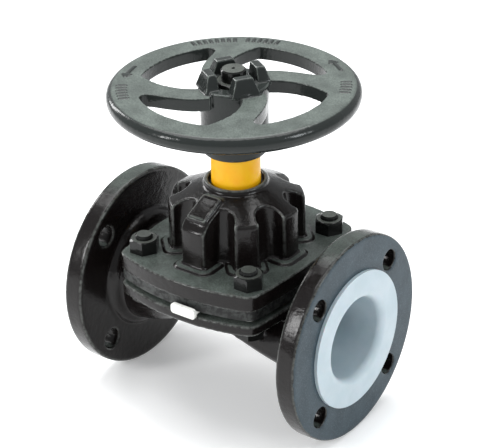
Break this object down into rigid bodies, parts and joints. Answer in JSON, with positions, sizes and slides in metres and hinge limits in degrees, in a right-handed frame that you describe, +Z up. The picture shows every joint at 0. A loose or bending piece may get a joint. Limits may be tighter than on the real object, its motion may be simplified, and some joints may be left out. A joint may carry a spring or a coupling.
{
  "type": "diaphragm valve",
  "caption": "Lined weir-type diaphragm valve: flanged body, ribbed bonnet bolted over a square diaphragm joint, travel sleeve, and a spoked handwheel that lowers the compressor.",
  "frame": {"origin": "centre of the inlet pipe flange's iron face, on the pipe axis", "axes": "+X along the pipe from inlet to outlet, +Z up along the spindle, +Y completes the frame"},
  "size_m": [0.26, 0.222, 0.3233],
  "materials": {
    "body_enamel": "gloss",
    "wheel_enamel": "gloss",
    "liner": "satin",
    "diaphragm_face": "satin",
    "black_rubber": "matte",
    "bronze": "machined",
    "spring_steel": "satin",
    "bolt_enamel": "gloss",
    "turned_steel": "machined",
    "cast_iron": "rough",
    "sleeve_yellow": "gloss"
  },
  "bodies": {
    "root": {"body_casting": "body_enamel", "inlet_flange": "body_enamel", "outlet_flange": "body_enamel", "body_liner": "liner", "diaphragm": "diaphragm_face", "diaphragm_backing": "black_rubber", "bonnet": "body_enamel", "spindle_bush": "bronze", "bush_retaining_ring": "spring_steel", "bush_o_ring": "black_rubber", "spindle_o_ring": "black_rubber", "sleeve_wiper": "black_rubber", "bonnet_bolt_1": "bolt_enamel", "bonnet_nut_1": "bolt_enamel", "bonnet_bolt_2": "bolt_enamel", "bonnet_nut_2": "bolt_enamel", "bonnet_bolt_3": "bolt_enamel", "bonnet_nut_3": "bolt_enamel", "bonnet_bolt_4": "bolt_enamel", "bonnet_nut_4": "bolt_enamel"},
    "compressor": {"compressor": "cast_iron", "spindle_thrust_washer": "bronze", "diaphragm_stud": "turned_steel"},
    "handwheel": {"handwheel": "wheel_enamel", "spindle": "bolt_enamel", "indicator_sleeve": "sleeve_yellow", "handwheel_key": "turned_steel", "handwheel_washer": "bolt_enamel", "handwheel_nut": "bolt_enamel"}
  },
  "joints": [
    {"name": "compressor_lift", "type": "slide", "parent": "root", "child": "compressor", "axis": [0, 0, 1], "range_m": [-0.025, 0], "deforming": ["diaphragm", "diaphragm_backing"]},
    {"name": "handwheel_turn", "type": "hinge", "parent": "compressor", "child": "handwheel", "pos_m": [0.127, 0, 0.2], "axis": [0, 0, 1], "range_deg": [-1800, 0]}
  ],
  "couplings": [
    {"joint": "compressor_lift", "follows": "handwheel_turn", "m_per_rad": 0.000795}
  ]
}
